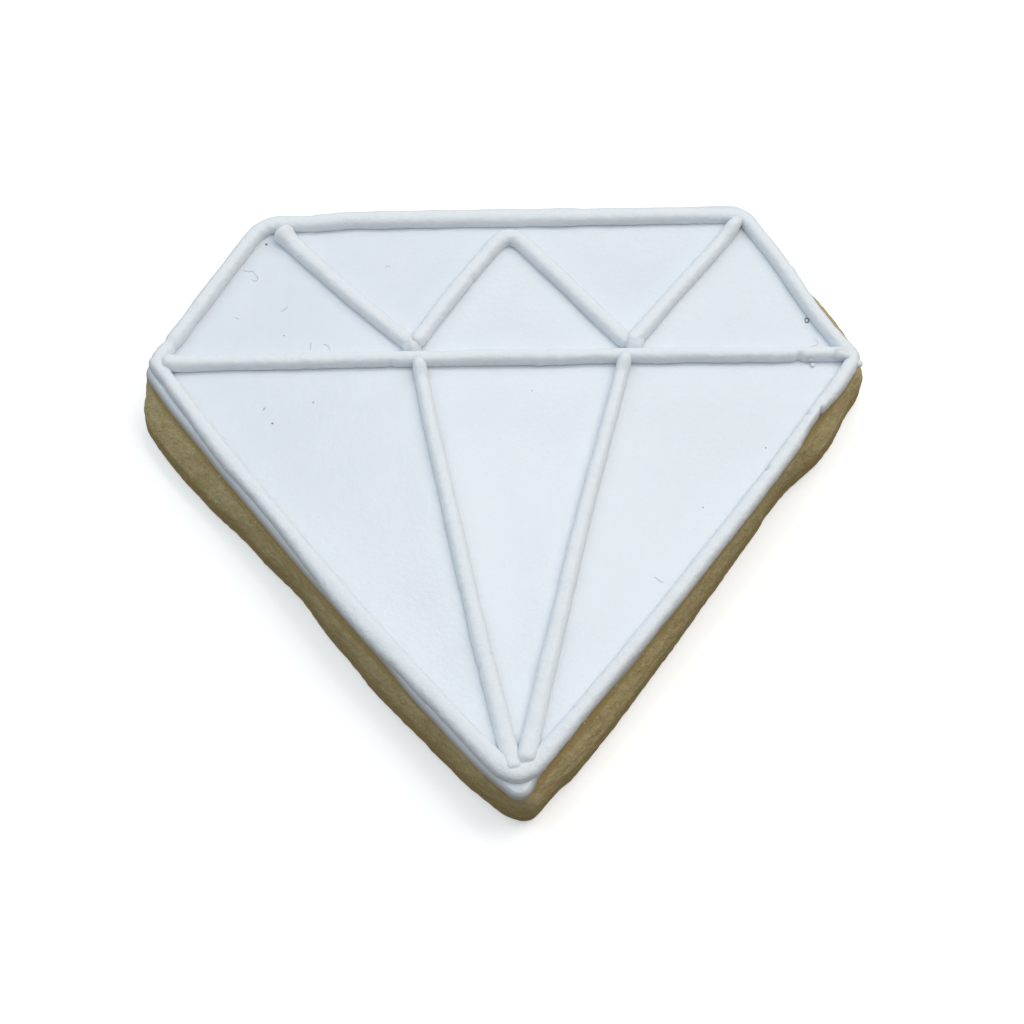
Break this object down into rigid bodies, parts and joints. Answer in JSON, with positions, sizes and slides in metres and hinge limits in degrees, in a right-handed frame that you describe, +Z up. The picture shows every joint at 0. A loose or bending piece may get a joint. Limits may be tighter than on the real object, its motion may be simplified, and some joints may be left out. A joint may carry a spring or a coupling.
{
  "type": "iced sugar cookie",
  "caption": "Gem-shaped sugar cookie with a flooded icing sheet and piped facet lines, resting flat.",
  "frame": {"origin": "middle of the footprint on the underside", "axes": "+X along the girdle line, from the left corner to the right corner; +Y from the tip to the flat table edge; +Z up through the icing"},
  "size_m": [0.0952, 0.0846, 0.0116],
  "materials": {
    "baked_biscuit": "pale golden baked biscuit, dry and finely crumbed",
    "flood_icing": "set white icing, smooth satin",
    "piped_icing": "set white piped icing, soft satin, slightly lumpy"
  },
  "bodies": {
    "root": {"biscuit": "baked_biscuit", "flood_icing": "flood_icing", "piped_border": "piped_icing", "piped_girdle": "piped_icing", "piped_crown_left": "piped_icing", "piped_crown_peak": "piped_icing", "piped_crown_right": "piped_icing", "piped_pavilion_left": "piped_icing", "piped_pavilion_right": "piped_icing"}
  },
  "joints": []
}
